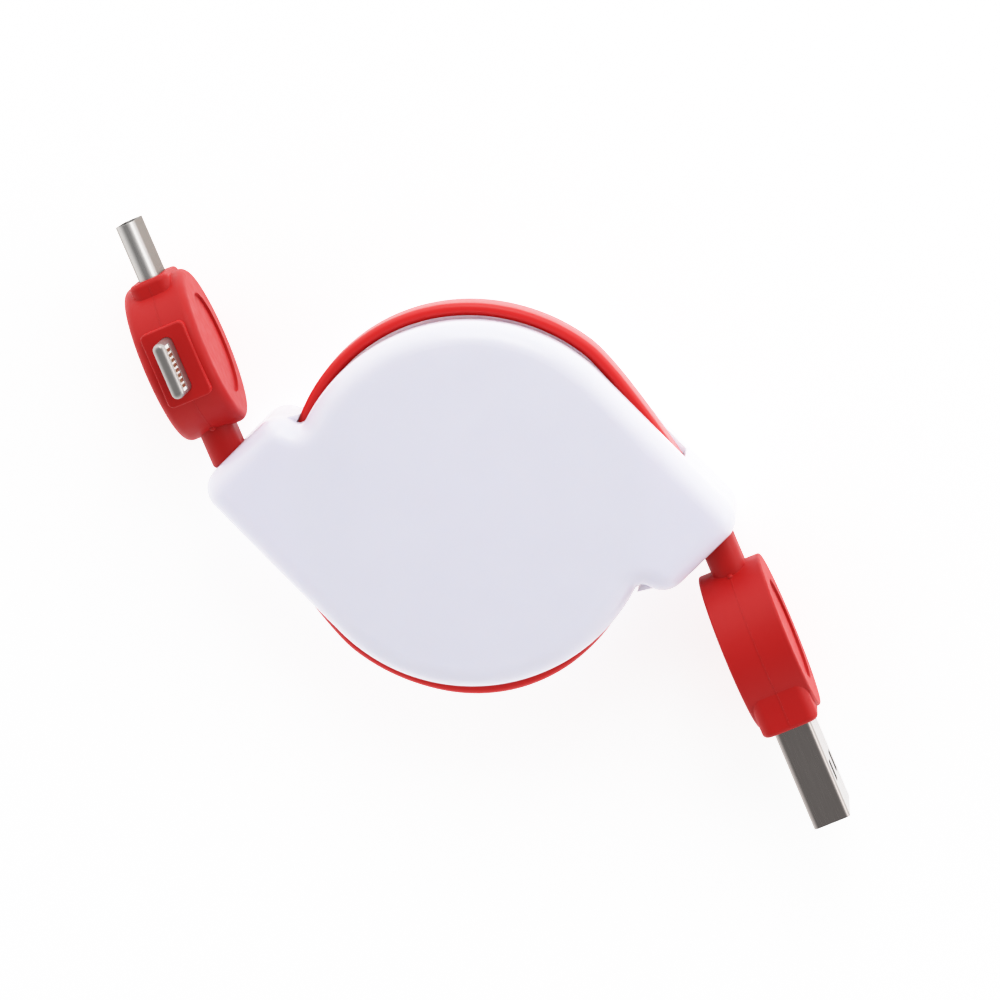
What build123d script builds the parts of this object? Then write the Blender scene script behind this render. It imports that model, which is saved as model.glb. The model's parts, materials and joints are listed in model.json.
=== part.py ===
from build123d import *
from math import cos, radians, sin, sqrt, tan
import os

os.makedirs("parts", exist_ok=True)

# Driving dimensions, in millimetres and degrees

# Fits
running_gap = 0.05
fit_gap = 0.03

# Reel covers
disc_radius = 21.5
block_proud = 2.2
block_face = 12.65
notch_rise = 1.34
tip_round = 2.9
tab_round = 3.0
notch_round = 1.0
cover_wall = 1.6
cover_edge = 2.7
dome_rise = 0.6
front_depth = 4.5
rim_gap = 0.8
case_turn = -45.0
tip_wall_length = 10.0
wedge_length = 9.1
corridor_gap = 0.3
winding_clear = 0.45
guard_thick = 0.8
guard_drop = 1.3
guard_length = 2.6
guard_angle = 59.0
pin_radius = 0.8
pin_length = 2.0
pin_inset = 1.5
pin_rise = 2.4

# Ribbon and its winding
ribbon_width = 5.6
ribbon_thick = 1.5
ribbon_edge = 0.6
ribbon_proud = 1.05
layer_gap = 0.1
winding_shift = 0.4
winding_angle = 140.0
lap_lag = 37.0
leave_angle = 82.0
bend_turn = 14.0
coil_groove = 0.25

# Spool, post and mainspring
post_radius = 3.0
post_tip_radius = 2.0
post_tip_length = 1.6
post_slot = 0.6
socket_wall = 1.6
drum_radius = 9.5
drum_wall = 1.2
flange_thick = 1.0
front_flange_thick = 0.8
flange_gap = 0.4
flange_clear = 0.6
hub_wall = 1.6
hub_seat_wall = 1.9
spigot_depth = 0.8
spigot_wall = 1.0
anchor_width = 1.8
spring_thick = 0.2
spring_turns = 5
spring_gap = 0.3

# Ratchet ball and its track
ball_radius = 1.25
ball_travel = 0.9
track_lip = 0.6
track_depth = 1.5
track_wall = 1.0
track_clear = 0.15
pocket_count = 3
pad_width = 6.0
pad_gap = 0.2

# Plug heads
head_radius = 9.6
head_thick = 7.7
recess_radius = 6.25
recess_depth = 0.35
boot_thick = 4.1
boot_height = 6.8
boot_corner = 1.9
boot_length = 13.55
boot_entry = 0.7
boot_side = 17.1
boot_edge = 0.5
boot_root = 4.0
mouth_gap = 0.25
mouth_depth = 0.6
ribbon_grip = 4.0
nub_radius = 0.35
nub_angle = 157.0
seam_width = 0.12
seam_rise = 0.03
boss_root = 4.0
boss_corner = 1.3
boss_edge = 0.6

# USB-A head and plug
usb_a_head_edge = 0.3
usb_a_width = 12.0
usb_a_thick = 4.5
usb_a_wall = 0.3
usb_a_length = 12.4
usb_a_grip = 4.9
usb_a_corner = 0.6
usb_a_boss_width = 16.2
usb_a_boss_thick = 6.9
usb_a_boss_proud = 0.2
usb_a_window_length = 2.5
usb_a_window_width = 2.1
usb_a_window_pitch = 5.4
usb_a_window_setback = 5.2
usb_a_tongue_recess = 0.4
usb_a_tongue_thick = 1.85
usb_a_contact_thick = 0.2
usb_a_contact_width = 1.0
usb_a_contact_places = (-3.5, -1.0, 1.0, 3.5)
usb_a_contact_setback = 1.0
core_length = 8.0
core_width = 10.0
core_thick = 3.0

# Multi head and its USB-C plug
multi_head_edge = 1.0
usb_c_width = 8.25
usb_c_thick = 2.4
usb_c_wall = 0.25
usb_c_length = 6.9
usb_c_grip = 5.9
usb_c_boss_width = 10.5
usb_c_boss_thick = 4.9
usb_c_boss_proud = 0.4
usb_c_slot_width = 6.75
usb_c_slot_thick = 1.0
usb_c_slot_depth = 5.6
usb_c_liner_recess = 0.3
usb_c_contact_setback = 1.2
usb_c_contact_count = 12
usb_c_contact_pitch = 0.5
usb_c_contact_width = 0.26
usb_c_contact_thick = 0.12

# Eight-pin plug
tab_width = 6.7
tab_thick = 1.5
tab_length = 6.7
tab_corner = 0.7
tab_tip_edge = 0.55
tab_pad_width = 9.15
tab_pad_thick = 5.4
tab_pad_proud = 0.3
tab_pad_corner = 0.7
tab_pad_edge = 0.25
tab_window_width = 5.7
tab_window_length = 3.0
tab_window_setback = 0.6
tab_insulator_inset = 0.1
pin_pad_count = 8
pin_pad_pitch = 0.63
pin_pad_width = 0.36
pin_pad_length = 1.7
pin_pad_thick = 0.16
board_length = 8.0
board_width = 9.0
board_thick = 0.8

# Levels along Z, with the rear face of the reel at zero
mid_z = head_radius + seam_rise
rim_half = ribbon_width / 2 + rim_gap
front_rim = mid_z + rim_half
rear_rim = mid_z - rim_half
front_face = front_rim + front_depth
front_ceiling = front_face - dome_rise - cover_wall
drum_half = ribbon_width / 2 + flange_gap
drum_front = mid_z + drum_half
drum_rear = mid_z - drum_half
flange_rear = drum_rear - flange_thick
flange_front = drum_front + front_flange_thick
track_rear = flange_rear - track_depth - pad_gap
pad_top = track_rear - pad_gap
hub_rear = track_rear
hub_seat_top = hub_rear - running_gap
ball_z = track_rear
post_shoulder = flange_front + pad_gap

# Plan sizes, measured from the reel axis
block_reach = disc_radius + block_proud
tab_corner_v = disc_radius - block_face
notch_v = tab_corner_v - notch_rise
notch_u = sqrt(disc_radius**2 - notch_v**2)
cavity_radius = disc_radius - cover_wall
flange_radius = cavity_radius - flange_clear
wound_radius = disc_radius + ribbon_proud
layer_pitch = ribbon_thick + layer_gap
lap_radius = wound_radius - ribbon_thick / 2 - layer_pitch / 2
coil_radius = wound_radius - ribbon_thick - layer_pitch - layer_gap - winding_shift
lap_offset = layer_pitch / 2 / cos(radians(lap_lag))
block_inner = lap_radius + ribbon_thick / 2 + winding_clear
bore_radius = post_radius + running_gap
track_half = ball_travel + ball_radius + track_clear
pocket_radius = ball_radius + track_clear
track_radius = flange_radius - track_lip - track_wall - pocket_radius - track_half


def polar(radius, angle):
    """Point in the plan at a radius and an angle in degrees."""
    return Vector(radius * cos(radians(angle)), radius * sin(radians(angle)))


# Way of each ribbon from the winding to its plug head, in the plan of the reel
run_angle = leave_angle - 90
head_angle = run_angle - bend_turn
boot_end = Vector(block_reach - boot_entry, boot_side)
ribbon_end = boot_end + polar(ribbon_grip - fit_gap, head_angle)
head_centre = boot_end + polar(boot_length, head_angle)


def winding_centre(side):
    """Middle of the winding, a little off the reel's axis, as the right or left half sees it."""
    return polar(winding_shift, winding_angle + side)


def ribbon_way(side):
    """Lap's centre and end, then start, centre and radius of the bend of one ribbon."""
    lap_centre = winding_centre(side) + polar(lap_offset, leave_angle + lap_lag)
    leave_point = lap_centre + polar(lap_radius, leave_angle)
    reach = boot_end - leave_point
    bend_half = reach.cross(polar(1, run_angle)).Z / sin(radians(bend_turn))
    bend_point = boot_end - polar(bend_half, head_angle) - polar(bend_half, run_angle)
    bend_radius = bend_half / tan(radians(bend_turn / 2))
    bend_centre = bend_point - polar(bend_radius, leave_angle)
    return lap_centre, leave_point, bend_point, bend_centre, bend_radius


def reel_plane(height, side=0):
    """Plan of the reel at a height, with its X axis along the blocks, for the right or left half."""
    return Plane((0, 0, height), x_dir=polar(1, case_turn + side), z_dir=(0, 0, 1))


def head_plane(side):
    """Plane at a head's centre: X along the plug, Y through the disc's thickness, Z up."""
    centre = reel_plane(mid_z, side).from_local_coords(head_centre)
    return Plane(centre, x_dir=polar(1, case_turn + side + head_angle), z_dir=(0, 0, 1))


def section_plane(head, along):
    """Plane square to the plug at a distance along it: X through the thickness, Y up."""
    return Plane(head.from_local_coords(Vector(along, 0, 0)), x_dir=head.y_dir, z_dir=head.x_dir)


def disc_plane(head):
    """Middle plane of the head's disc: X along the plug, Y up."""
    return Plane(head.origin, x_dir=head.x_dir, z_dir=-head.y_dir)


def finish(builder, name):
    """Name a finished piece and write it."""
    builder.part.label = name
    export_step(builder.part, f"parts/{name}.step")


# Outline of both covers: a disc with two tangent corner blocks
with BuildSketch() as outline:
    with BuildLine():
        for way in (1, -1):
            tip = (way * block_reach, way * disc_radius)
            tab = (way * block_reach, way * tab_corner_v)
            notch = (way * notch_u, way * notch_v)
            notch_angle = Vector(notch_u, notch_v).get_angle(Vector(1, 0))
            Line((0, way * disc_radius), tip)
            Line(tip, tab)
            Line(tab, notch)
            CenterArc((0, 0), disc_radius, notch_angle + 90 * (1 - way), -notch_angle - 90)
    make_face()
    for way in (1, -1):
        tip = Vector(way * block_reach, way * disc_radius)
        tab = Vector(way * block_reach, way * tab_corner_v)
        notch = Vector(way * notch_u, way * notch_v)
        fillet(outline.vertices().sort_by_distance(tip)[0], tip_round)
        fillet(outline.vertices().sort_by_distance(tab)[0], tab_round)
        fillet(outline.vertices().sort_by_distance(notch)[0], notch_round)

# One corner block: outer tip wall, wedge that guides the ribbon, tab and guard
with BuildSketch() as block:
    with BuildLine():
        Polyline(
            (block_reach - tip_wall_length, disc_radius),
            (block_reach, disc_radius),
            (block_reach, notch_v),
            (notch_u, notch_v),
            (block_reach - wedge_length, block_inner - wedge_length),
            (block_reach - wedge_length, disc_radius - cover_wall),
            (block_reach - tip_wall_length, disc_radius - cover_wall),
            close=True,
        )
    make_face()
    add(outline.sketch, mode=Mode.INTERSECT)
    with BuildLine():
        guard_end = Vector(notch_u + guard_thick, notch_v - guard_drop)
        Polyline(
            tuple(guard_end + polar(guard_length, guard_angle)),
            tuple(guard_end),
            (notch_u - guard_thick, notch_v - guard_drop),
            (notch_u, tab_corner_v),
            close=True,
        )
    make_face()


def passage(side):
    """Clear way of one ribbon through its corner block."""
    _, leave_point, bend_point, bend_centre, bend_radius = ribbon_way(side)
    with BuildSketch() as way:
        with BuildLine():
            Line(tuple(leave_point), tuple(bend_point))
            CenterArc(tuple(bend_centre), bend_radius, leave_angle, -bend_turn)
        trace(line_width=ribbon_thick + 2 * corridor_gap)
    return way.sketch.rotate(Axis.Z, side)


# Both corner blocks, clear of the winding and of the ribbons
with BuildSketch() as blocks:
    with PolarLocations(0, 2):
        add(block.sketch)
    with Locations(winding_centre(0)):
        Circle(block_inner, mode=Mode.SUBTRACT)
    for side in (0, 180):
        add(passage(side), mode=Mode.SUBTRACT)

pin_u = block_reach - pin_inset
pin_v = tab_corner_v + pin_rise
pin_places = [Vector(pin_u, pin_v), Vector(-pin_u, -pin_v)]
socket_radius = post_tip_radius + socket_wall

# Front cover, with the bored boss that holds the post
with BuildPart() as front_cover:
    with BuildSketch(reel_plane(front_rim)):
        add(outline.sketch)
    extrude(amount=front_depth)
    dome_radius = (disc_radius**2 + dome_rise**2) / (2 * dome_rise)
    with Locations((0, 0, front_face - dome_radius)):
        Sphere(dome_radius, mode=Mode.INTERSECT)
    fillet(front_cover.faces().sort_by(Axis.Z)[-1].edges(), cover_edge)
    with BuildSketch(reel_plane(mid_z)):
        add(blocks.sketch)
    extrude(amount=rim_half)
    with BuildSketch(Plane.XY.offset(front_rim)):
        Circle(cavity_radius)
    extrude(amount=front_ceiling - front_rim, mode=Mode.SUBTRACT)
    with BuildSketch(Plane.XY.offset(post_shoulder)):
        Circle(socket_radius)
    extrude(amount=front_ceiling - post_shoulder)
    with BuildSketch(Plane.XY.offset(post_shoulder)):
        Circle(post_tip_radius + fit_gap)
    extrude(amount=post_tip_length + fit_gap, mode=Mode.SUBTRACT)
    with BuildSketch(reel_plane(mid_z)):
        with Locations(pin_places):
            Circle(pin_radius + fit_gap)
    extrude(amount=pin_length + fit_gap, mode=Mode.SUBTRACT)
    for side in (0, 180):
        with BuildSketch(section_plane(head_plane(side), -boot_length - mouth_depth)):
            RectangleRounded(
                boot_thick + 2 * mouth_gap, boot_height + 2 * mouth_gap, boot_corner + mouth_gap
            )
        extrude(amount=boot_length, mode=Mode.SUBTRACT)
finish(front_cover, "front_cover")

# Rear cover, with the post, the seat of the spool and the slotted pad of the ball
slot_half = ball_travel + ball_radius + fit_gap
pad_half = slot_half + track_wall
pad_floor = ball_z - ball_radius - fit_gap
with BuildPart() as rear_cover:
    with BuildSketch(reel_plane(0)):
        add(outline.sketch)
    extrude(amount=rear_rim)
    fillet(rear_cover.faces().sort_by(Axis.Z)[0].edges(), cover_edge)
    with BuildSketch(reel_plane(rear_rim)):
        add(blocks.sketch)
    extrude(amount=rim_half)
    with BuildSketch(Plane.XY.offset(cover_wall)):
        Circle(cavity_radius)
    extrude(amount=rear_rim - cover_wall, mode=Mode.SUBTRACT)
    with BuildSketch(Plane.XY.offset(cover_wall)):
        Circle(post_radius + hub_seat_wall)
    extrude(amount=hub_seat_top - cover_wall)
    with BuildSketch(Plane.XY.offset(cover_wall)):
        Circle(post_radius)
    extrude(amount=post_shoulder - cover_wall)
    with BuildSketch(Plane.XY.offset(post_shoulder)):
        Circle(post_tip_radius)
    extrude(amount=post_tip_length)
    with BuildSketch(Plane.XY.offset(drum_rear)):
        Rectangle(2 * post_radius, post_slot)
    extrude(amount=post_shoulder + post_tip_length - drum_rear, mode=Mode.SUBTRACT)
    with BuildSketch(reel_plane(cover_wall)):
        with Locations((0, track_radius)):
            Rectangle(pad_width, 2 * pad_half)
    extrude(amount=pad_top - cover_wall)
    with BuildSketch(reel_plane(pad_floor)):
        with Locations((0, track_radius)):
            SlotOverall(2 * slot_half, 2 * (ball_radius + fit_gap), rotation=90)
    extrude(amount=pad_top - pad_floor, mode=Mode.SUBTRACT)
    with BuildSketch(reel_plane(mid_z)):
        with Locations(pin_places):
            Circle(pin_radius)
    extrude(amount=pin_length)
    for side in (0, 180):
        with BuildSketch(section_plane(head_plane(side), -boot_length - mouth_depth)):
            RectangleRounded(
                boot_thick + 2 * mouth_gap, boot_height + 2 * mouth_gap, boot_corner + mouth_gap
            )
        extrude(amount=boot_length, mode=Mode.SUBTRACT)
finish(rear_cover, "rear_cover")

# Ball that drops into the track's pockets and holds the spool
with BuildPart() as latch_ball:
    with Locations(reel_plane(ball_z).from_local_coords(Vector(0, track_radius, 0))):
        Sphere(ball_radius)
finish(latch_ball, "latch_ball")

# Spool: hub, rear flange, ball track and drum
drum_inner = drum_radius - drum_wall
hub_radius = bore_radius + hub_wall
track_inner = track_radius - track_half
track_outer = track_radius + track_half
with BuildPart() as spool_drum:
    with BuildSketch(Plane.XZ):
        with BuildLine():
            Polyline(
                (bore_radius, hub_rear),
                (hub_radius, hub_rear),
                (hub_radius, flange_rear),
                (track_inner - track_wall, flange_rear),
                (track_inner - track_wall, track_rear),
                (track_inner, track_rear),
                (track_inner, track_rear + track_depth),
                (track_outer, track_rear + track_depth),
                (track_outer, track_rear),
                (track_outer + pocket_radius + track_wall, track_rear),
                (track_outer + pocket_radius + track_wall, flange_rear),
                (flange_radius, flange_rear),
                (flange_radius, drum_rear),
                (drum_radius, drum_rear),
                (drum_radius, drum_front),
                (drum_inner, drum_front),
                (drum_inner, drum_rear),
                (bore_radius, drum_rear),
                close=True,
            )
        make_face()
    revolve(axis=Axis.Z)
    with BuildSketch(reel_plane(track_rear)):
        with PolarLocations(track_outer, pocket_count):
            Circle(pocket_radius)
    extrude(amount=track_depth, mode=Mode.SUBTRACT)
    with BuildSketch(reel_plane(drum_rear)):
        with Locations((drum_radius - drum_wall / 2, 0)):
            Rectangle(2 * drum_wall, anchor_width)
    extrude(amount=2 * drum_half, mode=Mode.SUBTRACT)
finish(spool_drum, "spool_drum")

# Front flange, with a ring that centres it in the drum
spigot_radius = drum_inner - fit_gap
with BuildPart() as spool_flange:
    with BuildSketch(Plane.XY.offset(drum_front)):
        Circle(flange_radius)
        Circle(bore_radius, mode=Mode.SUBTRACT)
    extrude(amount=front_flange_thick)
    with BuildSketch(Plane.XY.offset(drum_front)):
        Circle(spigot_radius)
        Circle(spigot_radius - spigot_wall, mode=Mode.SUBTRACT)
    extrude(amount=-spigot_depth)
finish(spool_flange, "spool_flange")

# Mainspring: a flat strip wound from the post's slot to the drum, as semicircles on two centres
spring_inner = post_radius + spring_gap + spring_thick
spring_outer = drum_inner - spigot_wall - spring_gap
spring_pitch = (spring_outer - spring_inner) / spring_turns
spring_rear = drum_rear + spring_gap
spring_height = drum_front - spigot_depth - spring_gap - spring_rear
with BuildPart() as mainspring:
    with BuildSketch(reel_plane(spring_rear)):
        with BuildLine():
            for turn in range(2 * spring_turns):
                middle = (spring_pitch / 4 * (1 if turn % 2 else -1), 0)
                radius = spring_inner + spring_pitch * (turn + 0.5) / 2
                CenterArc(middle, radius + spring_thick / 2, 180 * turn, 180)
                CenterArc(middle, radius - spring_thick / 2, 180 * turn, 180)
            start = spring_inner
            end = spring_inner + spring_pitch * spring_turns
            Line((start - spring_thick / 2, 0), (start + spring_thick / 2, 0))
            Line((end - spring_thick / 2, 0), (end + spring_thick / 2, 0))
        make_face()
    extrude(amount=spring_height)
finish(mainspring, "mainspring")

# Turns of both ribbons on the drum, with a groove where one turn meets the next
coil_inner = drum_radius + fit_gap
coil_rear = mid_z - ribbon_width / 2
coil_front = mid_z + ribbon_width / 2
turn_count = int((coil_radius - coil_inner) / layer_pitch)
turn_pitch = (coil_radius - coil_inner) / turn_count
with BuildPart() as ribbon_coil:
    with BuildSketch(Plane.XZ):
        with Locations(((coil_inner + coil_radius) / 2, mid_z)):
            Rectangle(coil_radius - coil_inner, ribbon_width)
        for turn in range(1, turn_count):
            with Locations((coil_inner + turn * turn_pitch, coil_front)):
                Rectangle(coil_groove, coil_groove, rotation=45, mode=Mode.SUBTRACT)
            with Locations((coil_inner + turn * turn_pitch, coil_rear)):
                Rectangle(coil_groove, coil_groove, rotation=45, mode=Mode.SUBTRACT)
    revolve(axis=Axis.Z)
    with BuildSketch(reel_plane(coil_rear)):
        with Locations((coil_inner, 0)):
            Rectangle(2 * drum_wall, anchor_width - 2 * fit_gap)
    extrude(amount=ribbon_width)
finish(ribbon_coil, "ribbon_coil")

# Outer lap of each ribbon, and its way out through a corner block into the boot
def ribbon(side):
    """One ribbon from the side of the winding to inside its plug head's boot."""
    lap_centre, leave_point, bend_point, bend_centre, bend_radius = ribbon_way(side)
    plan = reel_plane(mid_z, side)
    with BuildPart() as strip:
        with BuildLine(plan) as way:
            CenterArc(tuple(lap_centre), lap_radius, leave_angle + 180, -180)
            Line(tuple(leave_point), tuple(bend_point))
            CenterArc(tuple(bend_centre), bend_radius, leave_angle, -bend_turn)
            Line(tuple(boot_end), tuple(ribbon_end))
        outward = plan.from_local_coords(polar(1, leave_angle + 180)) - plan.origin
        along = plan.z_dir.cross(outward) * -1
        with BuildSketch(Plane(way.wire() @ 0, x_dir=outward, z_dir=along)):
            RectangleRounded(ribbon_thick, ribbon_width, ribbon_edge)
        sweep(path=way.wire())
    return strip


multi_head_ribbon = ribbon(180)
finish(multi_head_ribbon, "multi_head_ribbon")
usb_a_ribbon = ribbon(0)
finish(usb_a_ribbon, "usb_a_ribbon")


def head_blank(head, edge):
    """Disc-shaped overmould with a bare round recess in each face, and its boot round the ribbon."""
    with BuildPart() as blank:
        with BuildSketch(disc_plane(head)):
            Circle(head_radius)
        extrude(amount=head_thick / 2, both=True)
        fillet(blank.edges().filter_by(GeomType.CIRCLE), edge)
        for way in (1, -1):
            with BuildSketch(disc_plane(head).offset(way * head_thick / 2)):
                Circle(recess_radius)
            extrude(amount=-way * recess_depth, mode=Mode.SUBTRACT)
        with BuildSketch(section_plane(head, -boot_length)):
            RectangleRounded(boot_thick, boot_height, boot_corner)
        extrude(amount=boot_length - boot_root)
        boot_axis = Axis(head.origin, head.x_dir)
        fillet(blank.faces().sort_by(boot_axis)[0].edges(), boot_edge)
        with Locations(disc_plane(head).from_local_coords(polar(head_radius, nub_angle))):
            Sphere(nub_radius)
        with BuildSketch(disc_plane(head)):
            Circle(head_radius + seam_rise)
        extrude(amount=seam_width / 2, both=True)
        with BuildSketch(section_plane(head, -boot_length)):
            RectangleRounded(ribbon_thick + 2 * fit_gap, ribbon_width + 2 * fit_gap, ribbon_edge)
        extrude(amount=ribbon_grip, mode=Mode.SUBTRACT)
    return blank.part


def boss_blank(head, thick, width, face):
    """Rounded boss at the end of a head, with the mould's parting line along it."""
    with BuildPart() as boss:
        with BuildSketch(section_plane(head, boss_root)):
            RectangleRounded(thick, width, boss_corner)
        extrude(amount=face - boss_root)
        fillet(boss.faces().sort_by(Axis(head.origin, head.x_dir))[-1].edges(), boss_edge)
        with BuildSketch(section_plane(head, boss_root)):
            Rectangle(seam_width, width + 2 * seam_rise)
        extrude(amount=face - boss_edge - boss_root)
    return boss.part


# USB-A head: overmould, shell, tongue, contacts and the core behind them
usb_a_plane = head_plane(0)
usb_a_face = head_radius + usb_a_boss_proud
usb_a_root = usb_a_face - usb_a_grip
usb_a_tip = usb_a_face + usb_a_length
with BuildPart() as usb_a_head_body:
    add(head_blank(usb_a_plane, usb_a_head_edge))
    add(boss_blank(usb_a_plane, usb_a_boss_thick, usb_a_boss_width, usb_a_face))
    with BuildSketch(section_plane(usb_a_plane, usb_a_root)):
        RectangleRounded(usb_a_thick + 2 * fit_gap, usb_a_width + 2 * fit_gap, usb_a_corner)
    extrude(amount=usb_a_grip, mode=Mode.SUBTRACT)
    with BuildSketch(section_plane(usb_a_plane, usb_a_root)):
        Rectangle(core_thick + 2 * fit_gap, core_width + 2 * fit_gap)
    extrude(amount=-core_length - fit_gap, mode=Mode.SUBTRACT)
finish(usb_a_head_body, "usb_a_head_body")

with BuildPart() as usb_a_shell:
    with BuildSketch(section_plane(usb_a_plane, usb_a_root)):
        RectangleRounded(usb_a_thick, usb_a_width, usb_a_corner)
        inner_corner = usb_a_corner - usb_a_wall
        RectangleRounded(
            usb_a_thick - 2 * usb_a_wall,
            usb_a_width - 2 * usb_a_wall,
            inner_corner,
            mode=Mode.SUBTRACT,
        )
    extrude(amount=usb_a_grip + usb_a_length)
    with BuildSketch(disc_plane(usb_a_plane)):
        with Locations((usb_a_tip - usb_a_window_setback, 0)):
            with GridLocations(0, usb_a_window_pitch, 1, 2):
                Rectangle(usb_a_window_length, usb_a_window_width)
    extrude(amount=usb_a_thick, both=True, mode=Mode.SUBTRACT)
finish(usb_a_shell, "usb_a_shell")

tongue_floor = usb_a_wall + fit_gap - usb_a_thick / 2
with BuildPart() as usb_a_tongue:
    with BuildSketch(section_plane(usb_a_plane, usb_a_root)):
        with Locations((tongue_floor, 0)):
            Rectangle(
                usb_a_tongue_thick,
                usb_a_width - 2 * usb_a_wall - 2 * usb_a_corner,
                align=(Align.MIN, Align.CENTER),
            )
    extrude(amount=usb_a_tip - usb_a_tongue_recess - usb_a_root)
finish(usb_a_tongue, "usb_a_tongue")

with BuildPart() as usb_a_contacts:
    with BuildSketch(section_plane(usb_a_plane, usb_a_root)):
        with Locations([(tongue_floor + usb_a_tongue_thick, z) for z in usb_a_contact_places]):
            Rectangle(
                usb_a_contact_thick, usb_a_contact_width, align=(Align.MIN, Align.CENTER)
            )
    extrude(amount=usb_a_tip - usb_a_contact_setback - usb_a_root)
finish(usb_a_contacts, "usb_a_contacts")

with BuildPart() as usb_a_core:
    with BuildSketch(section_plane(usb_a_plane, usb_a_root)):
        Rectangle(core_thick, core_width)
    extrude(amount=-core_length)
finish(usb_a_core, "usb_a_core")

# Multi head: overmould with a USB-C plug on its end and an eight-pin plug on its rim
multi_plane = head_plane(180)
usb_c_face = head_radius + usb_c_boss_proud
usb_c_root = usb_c_face - usb_c_grip
usb_c_tip = usb_c_face + usb_c_length
plug_pad_top = head_radius + tab_pad_proud
tab_root = board_width / 2 + fit_gap
tab_tip = plug_pad_top + tab_length
with BuildPart() as multi_head_body:
    add(head_blank(multi_plane, multi_head_edge))
    add(boss_blank(multi_plane, usb_c_boss_thick, usb_c_boss_width, usb_c_face))
    with BuildSketch(multi_plane.offset(tab_root)):
        RectangleRounded(tab_pad_width, tab_pad_thick, tab_pad_corner)
    extrude(amount=plug_pad_top - tab_root)
    fillet(multi_head_body.faces().sort_by(Axis.Z)[-1].edges(), tab_pad_edge)
    with BuildSketch(section_plane(multi_plane, usb_c_root)):
        SlotOverall(usb_c_width + 2 * fit_gap, usb_c_thick + 2 * fit_gap, rotation=90)
    extrude(amount=usb_c_grip, mode=Mode.SUBTRACT)
    with BuildSketch(section_plane(multi_plane, usb_c_root)):
        Rectangle(board_thick + 2 * fit_gap, board_width + 2 * fit_gap)
    extrude(amount=-board_length - fit_gap, mode=Mode.SUBTRACT)
    with BuildSketch(multi_plane.offset(board_width / 2)):
        RectangleRounded(tab_width + 2 * fit_gap, tab_thick + 2 * fit_gap, tab_corner)
    extrude(amount=plug_pad_top - board_width / 2, mode=Mode.SUBTRACT)
finish(multi_head_body, "multi_head_body")

with BuildPart() as usb_c_shell:
    with BuildSketch(section_plane(multi_plane, usb_c_root)):
        SlotOverall(usb_c_width, usb_c_thick, rotation=90)
        SlotOverall(
            usb_c_width - 2 * usb_c_wall,
            usb_c_thick - 2 * usb_c_wall,
            rotation=90,
            mode=Mode.SUBTRACT,
        )
    extrude(amount=usb_c_grip + usb_c_length)
finish(usb_c_shell, "usb_c_shell")

liner_inset = usb_c_wall + fit_gap
with BuildPart() as usb_c_liner:
    with BuildSketch(section_plane(multi_plane, usb_c_root)):
        SlotOverall(usb_c_width - 2 * liner_inset, usb_c_thick - 2 * liner_inset, rotation=90)
    extrude(amount=usb_c_tip - usb_c_liner_recess - usb_c_root)
    with BuildSketch(section_plane(multi_plane, usb_c_tip - usb_c_slot_depth)):
        Rectangle(usb_c_slot_thick, usb_c_slot_width)
    extrude(amount=usb_c_slot_depth, mode=Mode.SUBTRACT)
finish(usb_c_liner, "usb_c_liner")

with BuildPart() as usb_c_contacts:
    row_offset = usb_c_slot_thick - usb_c_contact_thick
    with BuildSketch(section_plane(multi_plane, usb_c_tip - usb_c_slot_depth)):
        with GridLocations(row_offset, usb_c_contact_pitch, 2, usb_c_contact_count):
            Rectangle(usb_c_contact_thick, usb_c_contact_width)
    extrude(amount=usb_c_slot_depth - usb_c_contact_setback)
finish(usb_c_contacts, "usb_c_contacts")

window_middle = tab_tip - tab_window_setback - tab_window_length / 2
with BuildPart() as eight_pin_tab:
    with BuildSketch(multi_plane.offset(tab_root)):
        RectangleRounded(tab_width, tab_thick, tab_corner)
    extrude(amount=tab_tip - tab_root)
    fillet(eight_pin_tab.faces().sort_by(Axis.Z)[-1].edges(), tab_tip_edge)
    with BuildSketch(disc_plane(multi_plane)):
        with Locations((0, window_middle)):
            Rectangle(tab_window_width, tab_window_length)
    extrude(amount=tab_thick, both=True, mode=Mode.SUBTRACT)
finish(eight_pin_tab, "eight_pin_tab")

insulator_half = tab_thick / 2 - tab_insulator_inset
with BuildPart() as eight_pin_insulator:
    with BuildSketch(disc_plane(multi_plane)):
        with Locations((0, window_middle)):
            Rectangle(tab_window_width - 2 * fit_gap, tab_window_length - 2 * fit_gap)
    extrude(amount=insulator_half, both=True)
finish(eight_pin_insulator, "eight_pin_insulator")

with BuildPart() as eight_pin_contacts:
    for way in (1, -1):
        with BuildSketch(disc_plane(multi_plane).offset(way * insulator_half)):
            with Locations((0, window_middle)):
                with GridLocations(pin_pad_pitch, 0, pin_pad_count, 1):
                    Rectangle(pin_pad_width, pin_pad_length)
        extrude(amount=way * pin_pad_thick)
finish(eight_pin_contacts, "eight_pin_contacts")

with BuildPart() as multi_head_board:
    with BuildSketch(section_plane(multi_plane, usb_c_root)):
        Rectangle(board_thick, board_width)
    extrude(amount=-board_length)
finish(multi_head_board, "multi_head_board")
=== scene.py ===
import json
from math import cos, pi, radians, sin, tan

import bmesh
import bpy
from mathutils import Matrix, Vector


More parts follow.
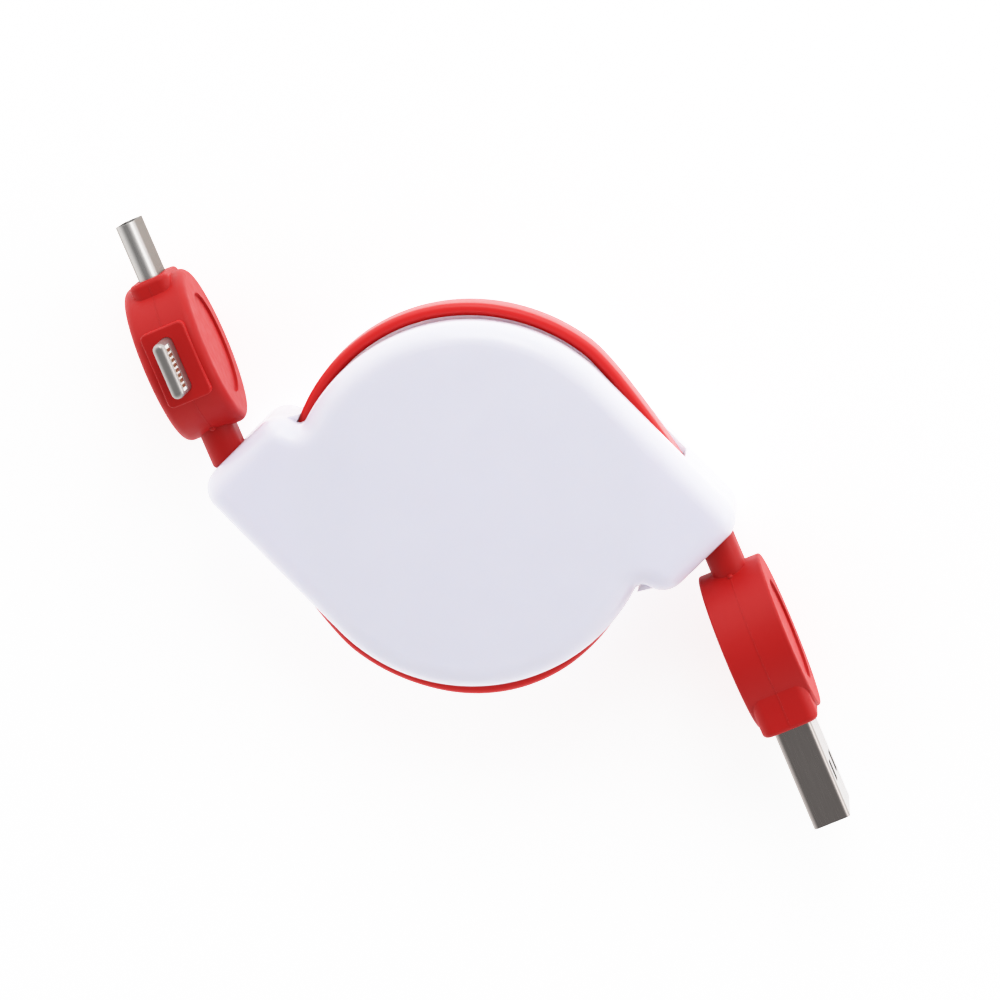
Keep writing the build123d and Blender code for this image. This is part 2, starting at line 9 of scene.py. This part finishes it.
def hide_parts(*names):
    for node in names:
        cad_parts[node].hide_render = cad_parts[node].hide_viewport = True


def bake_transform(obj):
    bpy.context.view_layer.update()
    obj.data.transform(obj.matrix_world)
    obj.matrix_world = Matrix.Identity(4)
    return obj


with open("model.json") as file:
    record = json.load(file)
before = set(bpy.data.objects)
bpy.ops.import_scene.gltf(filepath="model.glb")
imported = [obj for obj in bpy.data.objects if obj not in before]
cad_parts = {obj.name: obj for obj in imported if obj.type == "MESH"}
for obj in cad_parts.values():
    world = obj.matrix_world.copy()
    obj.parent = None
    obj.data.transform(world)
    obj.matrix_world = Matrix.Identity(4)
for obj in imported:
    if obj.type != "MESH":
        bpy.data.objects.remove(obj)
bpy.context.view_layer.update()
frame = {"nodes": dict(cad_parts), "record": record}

MM = 0.001
nodes = frame["nodes"]

# Camera, fitted to the photograph's view of the reel, with its tilts in degrees
CAMERA_DISTANCE = 550 * MM
CAMERA_TILT_RIGHT = 3.43
CAMERA_TILT_UP = 8.69
CAMERA_AIM = Vector((3.28, 0.12, 12.0)) * MM
CAMERA_NEAR = 10 * MM
PICTURE_WIDTH = 116.64 * MM
SENSOR = 36.0

# Studio surround: share of its brightness by height, from the horizon to overhead
SURROUND = ((0.0, 0.78), (0.36, 0.78), (0.46, 0.6), (0.64, 0.5), (0.8, 0.32), (0.9, 0.16), (1.0, 0.15))
SURROUND_NEAR = 1.5
SURROUND_FAR = 3.3
RAMP_MIDDLE = 0.5

# Soft square lamps: place and edge in metres, and power in watts
LAMPS = {
    "top_light": ((0.05, 0.55, 0.5), 0.35, 1.6),
    "side_light": ((0.6, 0.1, 0.16), 0.4, 0.9),
}

# Square floor, in metres from its middle to its side
FLOOR_HALF = 3.0
FLOOR_GLOW = 0.8
FLOOR_CORNERS = ((-1, -1), (1, -1), (1, 1), (-1, 1))

# How bright light is held back as a camera does: brightest light kept, and points of the curve below it
BRIGHTEST = 2.0
SHOULDER = ((0.3, 0.6), (0.4, 0.74), (0.5, 0.84), (0.64, 0.92), (0.8, 0.97))
COMBINED_CURVE = 3

# Surface patterns: detail and usual range of the noise, and the sizes that most plastics share
NOISE_DETAIL = 2.0
RICH_DETAIL = 3.0
NOISE_LOW = 0.3
NOISE_HIGH = 0.7
GLOSS_PER_CLOUD = 5
EDGE_RADIUS = 0.08 * MM
EDGE_SAMPLES = 4
CLOUD_SIZE = 6 * MM

# Places of the colour sockets on a mixing node
MIX_AMOUNT = 0
MIX_DARK = 6
MIX_LIGHT = 7
MIX_COLOUR = 2

# Ribbon, with the sizes and the route of the part's source in the plan of the reel, in mm and degrees
CASE_TURN = -45.0
MID_Z = 9.63
RIBBON_THICK = 1.5
RIBBON_WIDTH = 5.6
RIBBON_EDGE = 0.6
LAYER_PITCH = 1.6
WINDING_SHIFT = 0.4
WINDING_ANGLE = 140.0
LAP_RADIUS = 21.0
LAP_LAG = 37.0
LAP_STEP = 15.0
LAP_TURN = 180
LEAVE_ANGLE = 82.0
BEND_TURN = 14.0
BOOT_END = Vector((23.0, 17.1, 0.0))
RIBBON_GRIP = 3.97
RUN_ANGLE = LEAVE_ANGLE - 90
HEAD_ANGLE = RUN_ANGLE - BEND_TURN
HEAD_TURN = CASE_TURN + HEAD_ANGLE

# Turn of each ribbon about the reel's axis
USB_A_SIDE = 0
MULTI_HEAD_SIDE = 180

# Spots where a ribbon's lap is loose or tight: angle and half-width in degrees, and rise in mm
LOOSE_SPOTS = {
    USB_A_SIDE: ((178, 65, 0.45), (88, 25, 0.2)),
    MULTI_HEAD_SIDE: ((147, 50, 0.72), (205, 45, -0.4), (95, 30, 0.25)),
}

# Fineness of the ribbon's mesh
CORNER_STEPS = 5
ROUTE_STEPS = 10
ROUTE_ORDER = 3


def add_node(tree, kind, settings=None, **sockets):
    """Node of a kind, with its settings, and a value or a link for each named socket."""
    made = tree.nodes.new(kind)
    for key, value in (settings or {}).items():
        setattr(made, key, value)
    for key, value in sockets.items():
        socket = made.inputs[key.replace("_", " ")]
        if isinstance(value, bpy.types.NodeSocket):
            tree.links.new(value, socket)
        else:
            socket.default_value = value
    return made


def new_material(name, **values):
    """Material with a Principled shader set to these values, its tree and the shader."""
    made = bpy.data.materials.new(name)
    made.use_nodes = True
    shader = made.node_tree.nodes["Principled BSDF"]
    for key, value in values.items():
        shader.inputs[key.replace("_", " ")].default_value = value
    return made, made.node_tree, shader


def noise(tree, place, size, detail=NOISE_DETAIL):
    """Noise with features of about a size in metres."""
    return add_node(tree, "ShaderNodeTexNoise", Vector=place, Scale=1 / size, Detail=detail).outputs["Fac"]


def tint(tree, amount, dark, light):
    """Colour between two by an amount."""
    mix = add_node(tree, "ShaderNodeMix", {"data_type": "RGBA"})
    tree.links.new(amount, mix.inputs[MIX_AMOUNT])
    mix.inputs[MIX_DARK].default_value = (*dark, 1)
    mix.inputs[MIX_LIGHT].default_value = (*light, 1)
    return mix.outputs[MIX_COLOUR]


def spread(tree, amount, low, high):
    """Value between two by an amount of noise, which stays near its middle."""
    settings = {"From_Min": NOISE_LOW, "From_Max": NOISE_HIGH, "To_Min": low, "To_Max": high}
    return add_node(tree, "ShaderNodeMapRange", Value=amount, **settings).outputs["Result"]


def finish_surface(tree, shader, colour, rough, height, depth, edge):
    """Link colour, roughness and relief to a shader, and soften its edges where a radius is given."""
    tree.links.new(colour, shader.inputs["Base Color"])
    tree.links.new(rough, shader.inputs["Roughness"])
    bump = add_node(tree, "ShaderNodeBump", Height=height, Distance=depth, Strength=1.0)
    if edge:
        soft = add_node(tree, "ShaderNodeBevel", {"samples": EDGE_SAMPLES}, Radius=edge)
        tree.links.new(soft.outputs["Normal"], bump.inputs["Normal"])
    tree.links.new(bump.outputs["Normal"], shader.inputs["Normal"])


def moulded(name, dark, light, rough, grain, depth, edge=EDGE_RADIUS, cloud=CLOUD_SIZE, **values):
    """Moulded surface: slow clouds of colour and gloss over a fine grain."""
    made, tree, shader = new_material(name, **values)
    place = add_node(tree, "ShaderNodeTexCoord").outputs["Object"]
    clouds = noise(tree, place, cloud, RICH_DETAIL)
    gloss = spread(tree, noise(tree, place, cloud / GLOSS_PER_CLOUD), *rough)
    colour = tint(tree, clouds, dark, light)
    finish_surface(tree, shader, colour, gloss, noise(tree, place, grain), depth, edge)
    return made


def drawn(name, dark, light, rough, turn, grain, stretch, depth, edge=EDGE_RADIUS, **values):
    """Surface with fine lines that run along the plan, as drawn metal or an extruded ribbon has."""
    made, tree, shader = new_material(name, **values)
    place = add_node(tree, "ShaderNodeTexCoord").outputs["Object"]
    line_space = add_node(
        tree,
        "ShaderNodeMapping",
        {"vector_type": "TEXTURE"},
        Vector=place,
        Rotation=(0, 0, radians(turn)),
        Scale=stretch,
    ).outputs["Vector"]
    lines = noise(tree, line_space, grain, RICH_DETAIL)
    colour = tint(tree, lines, dark, light)
    finish_surface(tree, shader, colour, spread(tree, lines, *rough), lines, depth, edge)
    return made


# Finish of each material slot
finishes = {
    "cover_white": moulded(
        "cover_white",
        dark=(0.67, 0.665, 0.79),
        light=(0.7, 0.695, 0.82),
        rough=(0.16, 0.22),
        grain=1.2 * MM,
        depth=0.003 * MM,
        IOR=1.5,
        Subsurface_Weight=0.6,
        Subsurface_Radius=(1.0, 0.85, 0.8),
        Subsurface_Scale=3.5 * MM,
    ),
    "head_red": moulded(
        "head_red",
        dark=(0.345, 0.006, 0.005),
        light=(0.375, 0.008, 0.007),
        rough=(0.42, 0.5),
        grain=0.12 * MM,
        depth=0.004 * MM,
        Specular_IOR_Level=0.14,
        Sheen_Weight=0.6,
        Sheen_Roughness=0.4,
        Sheen_Tint=(1, 0.03, 0.03, 1),
    ),
    "ribbon_red": drawn(
        "ribbon_red",
        dark=(0.59, 0.009, 0.008),
        light=(0.65, 0.011, 0.01),
        rough=(0.34, 0.42),
        turn=0.0,
        grain=0.25 * MM,
        stretch=(60, 60, 1),
        depth=0.004 * MM,
        Specular_IOR_Level=0.3,
    ),
    "spool_plastic": moulded(
        "spool_plastic",
        dark=(0.6, 0.6, 0.62),
        light=(0.66, 0.66, 0.67),
        rough=(0.4, 0.5),
        grain=0.2 * MM,
        depth=0.004 * MM,
    ),
    "plug_nickel": drawn(
        "plug_nickel",
        dark=(0.27, 0.24, 0.228),
        light=(0.305, 0.275, 0.26),
        rough=(0.2, 0.28),
        turn=HEAD_TURN,
        grain=0.06 * MM,
        stretch=(40, 1, 1),
        depth=0.0006 * MM,
        Metallic=1.0,
    ),
    "spring_steel": drawn(
        "spring_steel",
        dark=(0.42, 0.42, 0.44),
        light=(0.52, 0.52, 0.54),
        rough=(0.25, 0.35),
        turn=0.0,
        grain=0.1 * MM,
        stretch=(30, 30, 1),
        depth=0.0015 * MM,
        Metallic=1.0,
    ),
    "contact_gold": moulded(
        "contact_gold",
        dark=(0.26, 0.13, 0.065),
        light=(0.33, 0.175, 0.085),
        rough=(0.25, 0.35),
        grain=0.08 * MM,
        depth=0.001 * MM,
        edge=0.02 * MM,
        cloud=0.5 * MM,
        Metallic=1.0,
    ),
    "tongue_white": moulded(
        "tongue_white",
        dark=(0.76, 0.75, 0.72),
        light=(0.82, 0.81, 0.79),
        rough=(0.4, 0.5),
        grain=0.1 * MM,
        depth=0.002 * MM,
        edge=0.03 * MM,
        cloud=2 * MM,
    ),
    "liner_black": moulded(
        "liner_black",
        dark=(0.012, 0.012, 0.013),
        light=(0.025, 0.025, 0.027),
        rough=(0.4, 0.55),
        grain=0.1 * MM,
        depth=0.002 * MM,
        edge=0.03 * MM,
        cloud=2 * MM,
    ),
    "board_green": moulded(
        "board_green",
        dark=(0.02, 0.11, 0.04),
        light=(0.035, 0.16, 0.06),
        rough=(0.3, 0.45),
        grain=0.2 * MM,
        depth=0.003 * MM,
    ),
}

# Metal of the two-plug head, which differs from the USB-A shell's
plug_finishes = {
    "usb_c_shell": drawn(
        "satin_nickel",
        dark=(0.4, 0.385, 0.375),
        light=(0.45, 0.435, 0.42),
        rough=(0.26, 0.34),
        turn=HEAD_TURN,
        grain=0.06 * MM,
        stretch=(40, 1, 1),
        depth=0.0006 * MM,
        Metallic=1.0,
        Specular_Tint=(0.3, 0.28, 0.255, 1),
    ),
    "eight_pin_tab": drawn(
        "blasted_nickel",
        dark=(0.28, 0.265, 0.255),
        light=(0.325, 0.305, 0.295),
        rough=(0.34, 0.42),
        turn=HEAD_TURN,
        grain=0.06 * MM,
        stretch=(2, 1, 1),
        depth=0.0006 * MM,
        Metallic=1.0,
    ),
}
for subpart in frame["record"]["subparts"]:
    mesh = nodes[subpart["node"]].data
    mesh.materials.clear()
    mesh.materials.append(finishes[subpart["material_slot"]])
for name, finish in plug_finishes.items():
    nodes[name].data.materials[0] = finish


def polar(radius, angle):
    """Point in the plan of the reel at a radius and an angle in degrees."""
    return Vector((radius * cos(radians(angle)), radius * sin(radians(angle)), 0))


def loose(side, angle):
    """How far a ribbon's lap stands out at an angle of its way, from where it is loose or tight."""
    rise = 0
    for place, half, height in LOOSE_SPOTS[side]:
        off = min(abs(angle - place) / half, 1)
        rise += height * (1 + cos(pi * off)) / 2
    return rise


def route_points(side):
    """Points of one ribbon's way in the plan, from the winding's side to inside the boot."""
    offset = LAYER_PITCH / 2 / cos(radians(LAP_LAG))
    centre = polar(WINDING_SHIFT, WINDING_ANGLE + side) + polar(offset, LEAVE_ANGLE + LAP_LAG)
    points = [centre + polar(LAP_RADIUS, LEAVE_ANGLE + LAP_TURN)]
    reach = LAP_RADIUS / cos(radians(LAP_STEP / 2))
    for turn in range(int(LAP_TURN / LAP_STEP)):
        angle = LEAVE_ANGLE + LAP_TURN - LAP_STEP * (turn + 0.5)
        points.append(centre + polar(reach + loose(side, angle), angle))
    run = BOOT_END - centre - polar(LAP_RADIUS, LEAVE_ANGLE)
    half_bend = run.cross(polar(1, RUN_ANGLE)).z / sin(radians(BEND_TURN))
    corner = BOOT_END - polar(half_bend, HEAD_ANGLE)
    return points + [corner, BOOT_END, BOOT_END + polar(RIBBON_GRIP, HEAD_ANGLE)]


def smooth_way(points):
    """Points along the smooth curve that a route's points control."""
    curve = bpy.data.curves.new("route", "CURVE")
    curve.dimensions = "3D"
    spline = curve.splines.new("NURBS")
    spline.points.add(len(points) - 1)
    for control, point in zip(spline.points, points):
        control.co = (*point, 1)
    spline.order_u = ROUTE_ORDER
    spline.use_endpoint_u = True
    spline.resolution_u = ROUTE_STEPS
    holder = bpy.data.objects.new("route", curve)
    mesh = bpy.data.meshes.new_from_object(holder)
    way = [vertex.co.copy() for vertex in mesh.vertices]
    bpy.data.meshes.remove(mesh)
    bpy.data.objects.remove(holder)
    bpy.data.curves.remove(curve)
    return way


def ribbon_section():
    """Rounded outline of the ribbon: across its thickness and up its width."""
    outline = []
    for quarter in range(4):
        side = 1 if quarter in (0, 3) else -1
        top = 1 if quarter < 2 else -1
        for step in range(CORNER_STEPS + 1):
            angle = pi / 2 * (quarter + step / CORNER_STEPS)
            across = side * (RIBBON_THICK / 2 - RIBBON_EDGE) + RIBBON_EDGE * cos(angle)
            up = top * (RIBBON_WIDTH / 2 - RIBBON_EDGE) + RIBBON_EDGE * sin(angle)
            outline.append((across, up))
    return outline


def ribbon_mesh(name, way, turn):
    """Mesh of a ribbon's section swept along its way, turned to its side of the reel."""
    shape = bmesh.new()
    rings = []
    for index, point in enumerate(way):
        ahead = way[min(index + 1, len(way) - 1)] - way[max(index - 1, 0)]
        out = Vector((-ahead.y, ahead.x, 0)).normalized()
        ring = []
        for across, up in ribbon_section():
            place = point + out * across + Vector((0, 0, MID_Z + up))
            ring.append(shape.verts.new(turn @ place * MM))
        rings.append(ring)
    count = len(rings[0])
    for first, second in zip(rings, rings[1:]):
        for here in range(count):
            after = (here + 1) % count
            shape.faces.new((first[here], second[here], second[after], first[after]))
    shape.faces.new(rings[0])
    shape.faces.new(reversed(rings[-1]))
    bmesh.ops.recalc_face_normals(shape, faces=shape.faces)
    for face in shape.faces:
        face.smooth = True
    mesh = bpy.data.meshes.new(name)
    shape.to_mesh(mesh)
    shape.free()
    return mesh


def add_ribbon(name, node, side):
    """Smooth ribbon that takes a node's place, and stretches from the case to its plug head."""
    turn = Matrix.Rotation(radians(CASE_TURN + side), 4, "Z")
    mesh = ribbon_mesh(name, smooth_way(route_points(side)), turn)
    mesh.materials.append(finishes["ribbon_red"])
    piece = bpy.data.objects.new(name, mesh)
    bpy.context.scene.collection.objects.link(piece)
    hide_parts(node)
    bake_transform(piece)


add_ribbon("usb_a_ribbon_skin", "usb_a_ribbon", USB_A_SIDE)
add_ribbon("multi_head_ribbon_skin", "multi_head_ribbon", MULTI_HEAD_SIDE)


def add_camera():
    """Camera that looks down on the reel from a little above and to the right of its axis."""
    data = bpy.data.cameras.new("camera")
    data.sensor_width = SENSOR
    data.lens = SENSOR * CAMERA_DISTANCE / PICTURE_WIDTH
    data.clip_start = CAMERA_NEAR
    camera = bpy.data.objects.new("camera", data)
    bpy.context.scene.collection.objects.link(camera)
    back = Vector((tan(radians(CAMERA_TILT_RIGHT)), tan(radians(CAMERA_TILT_UP)), 1)).normalized()
    right = Vector((0, 1, 0)).cross(back).normalized()
    up = back.cross(right)
    turn = Matrix((right, up, back)).transposed().to_4x4()
    camera.matrix_world = Matrix.Translation(CAMERA_AIM + back * CAMERA_DISTANCE) @ turn
    bpy.context.scene.camera = camera


def add_light(name, place, size, power):
    """Soft square lamp at a place, turned towards the object."""
    data = bpy.data.lights.new(name, "AREA")
    data.shape = "SQUARE"
    data.size = size
    data.energy = power
    lamp = bpy.data.objects.new(name, data)
    bpy.context.scene.collection.objects.link(lamp)
    lamp.location = place
    lamp.rotation_euler = (-Vector(place)).to_track_quat("-Z", "Y").to_euler()


def add_floor():
    """Pale matte floor under the object."""
    material = moulded(
        "floor_pale",
        dark=(0.9, 0.9, 0.9),
        light=(0.93, 0.93, 0.93),
        rough=(0.7, 0.8),
        grain=1 * MM,
        depth=0.005 * MM,
        edge=0,
        cloud=80 * MM,
        Emission_Color=(1, 1, 1, 1),
        Emission_Strength=FLOOR_GLOW,
    )
    mesh = bpy.data.meshes.new("floor")
    corners = [(x * FLOOR_HALF, y * FLOOR_HALF, 0) for x, y in FLOOR_CORNERS]
    mesh.from_pydata(corners, [], [tuple(range(len(corners)))])
    mesh.materials.append(material)
    floor = bpy.data.objects.new("floor", mesh)
    bpy.context.scene.collection.objects.link(floor)


def add_surround():
    """Studio surround that is bright round the sides, most at the far side, and dim overhead."""
    world = bpy.data.worlds.new("studio")
    world.use_nodes = True
    tree = world.node_tree
    direction = add_node(tree, "ShaderNodeTexCoord").outputs["Generated"]
    parts = add_node(tree, "ShaderNodeSeparateXYZ", Vector=direction).outputs
    ramp = add_node(tree, "ShaderNodeValToRGB", Fac=parts["Z"])
    stops = ramp.color_ramp.elements
    while len(stops) < len(SURROUND):
        stops.new(RAMP_MIDDLE)
    for stop, (place, value) in zip(stops, SURROUND):
        stop.position = place
        stop.color = (value, value, value, 1)
    sides = {"From_Min": -1.0, "From_Max": 1.0, "To_Min": SURROUND_NEAR, "To_Max": SURROUND_FAR}
    power = add_node(tree, "ShaderNodeMapRange", Value=parts["Y"], **sides).outputs["Result"]
    tree.links.new(ramp.outputs["Color"], tree.nodes["Background"].inputs["Color"])
    tree.links.new(power, tree.nodes["Background"].inputs["Strength"])
    bpy.context.scene.world = world


def set_response():
    """Response of the picture to light, which eases into white as a camera's does."""
    view = bpy.context.scene.view_settings
    view.view_transform = "Standard"
    view.use_curve_mapping = True
    view.curve_mapping.white_level = (BRIGHTEST, BRIGHTEST, BRIGHTEST)
    for place, value in SHOULDER:
        view.curve_mapping.curves[COMBINED_CURVE].points.new(place, value)
    view.curve_mapping.update()


add_floor()
add_surround()
for name, (place, size, power) in LAMPS.items():
    add_light(name, place, size, power)
set_response()
add_camera()
